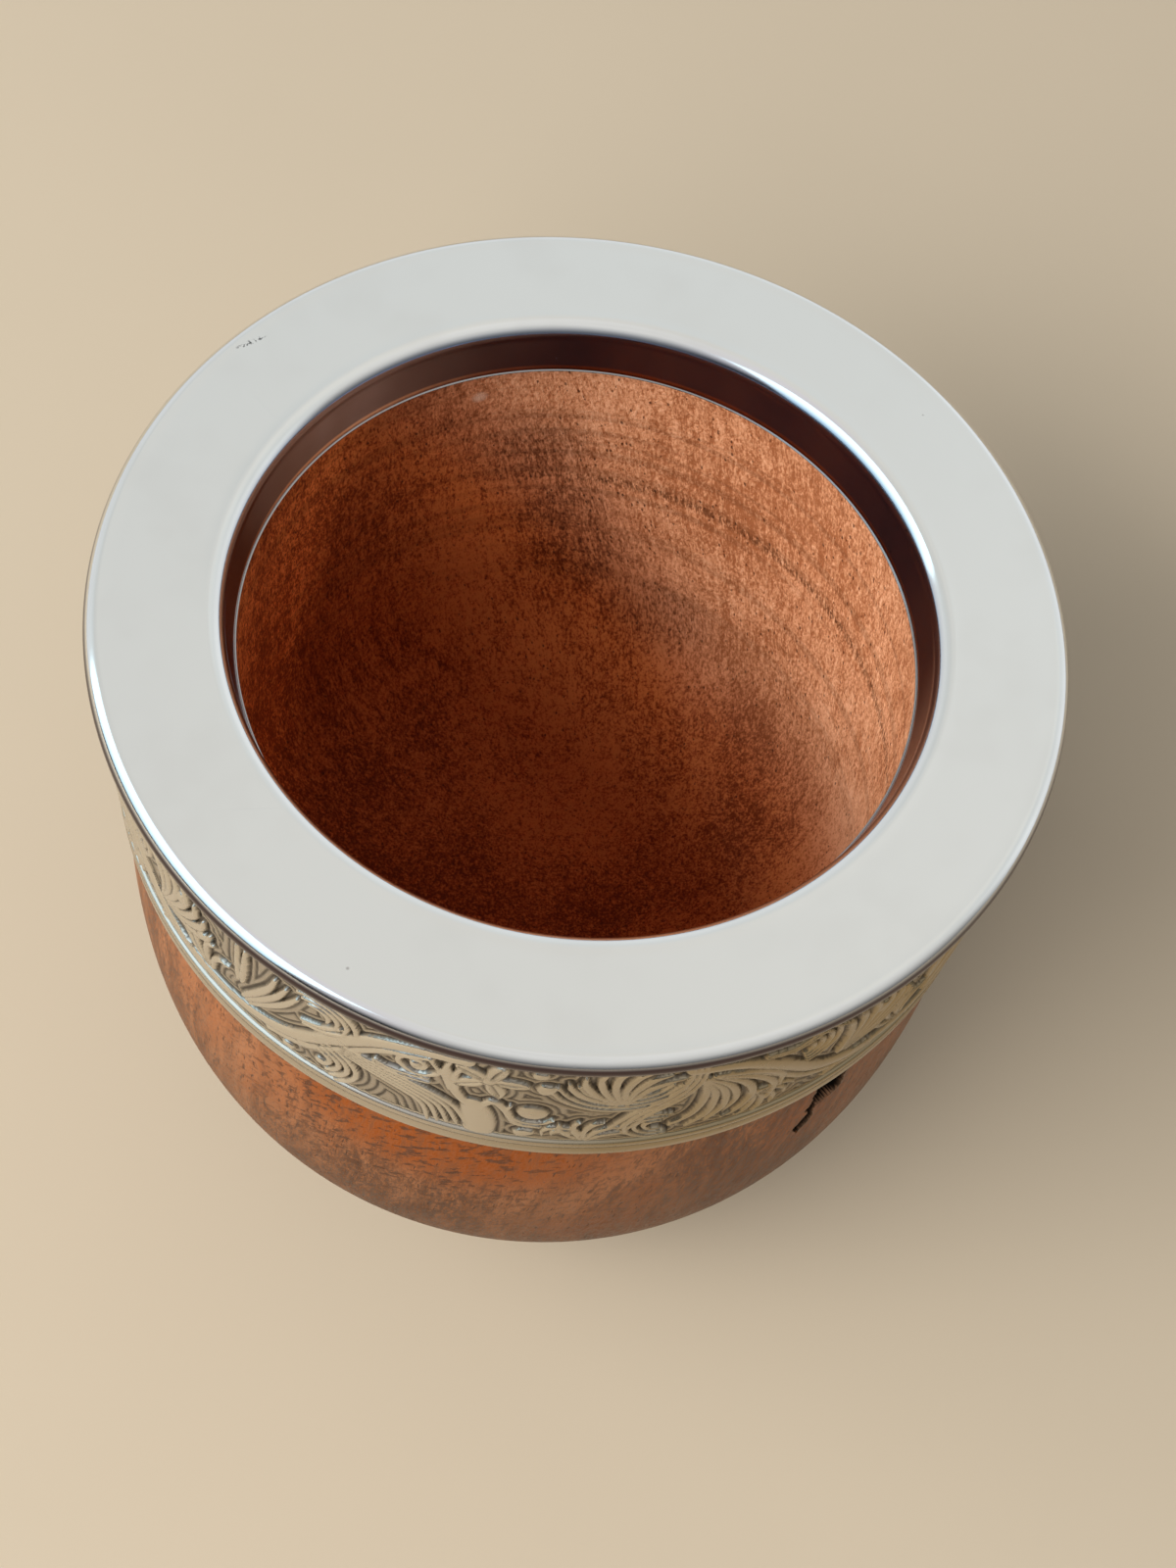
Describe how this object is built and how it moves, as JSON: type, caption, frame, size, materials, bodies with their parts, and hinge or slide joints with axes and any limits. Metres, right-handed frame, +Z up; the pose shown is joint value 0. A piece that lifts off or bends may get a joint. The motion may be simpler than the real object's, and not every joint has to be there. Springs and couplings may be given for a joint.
{
  "type": "wooden mate cup",
  "caption": "Empty turned-wood mate cup with a rounded belly, a wide flat polished metal rim and a chased metal band under it.",
  "frame": {"origin": "middle of the flat foot, on the surface that the cup stands on", "axes": "+Z up through the mouth, -Y towards the viewer of the picture, +X to the viewer's right"},
  "size_m": [0.09, 0.09, 0.08],
  "materials": {
    "wood": "satin oiled outside, raw and open-pored inside",
    "polished_metal": "polished with fine wear scratches",
    "chased_metal": "chased relief, bright on top and dark in the recesses"
  },
  "bodies": {
    "root": {"wood_bowl": "wood", "metal_rim": "polished_metal", "chased_band": "chased_metal"}
  },
  "joints": []
}
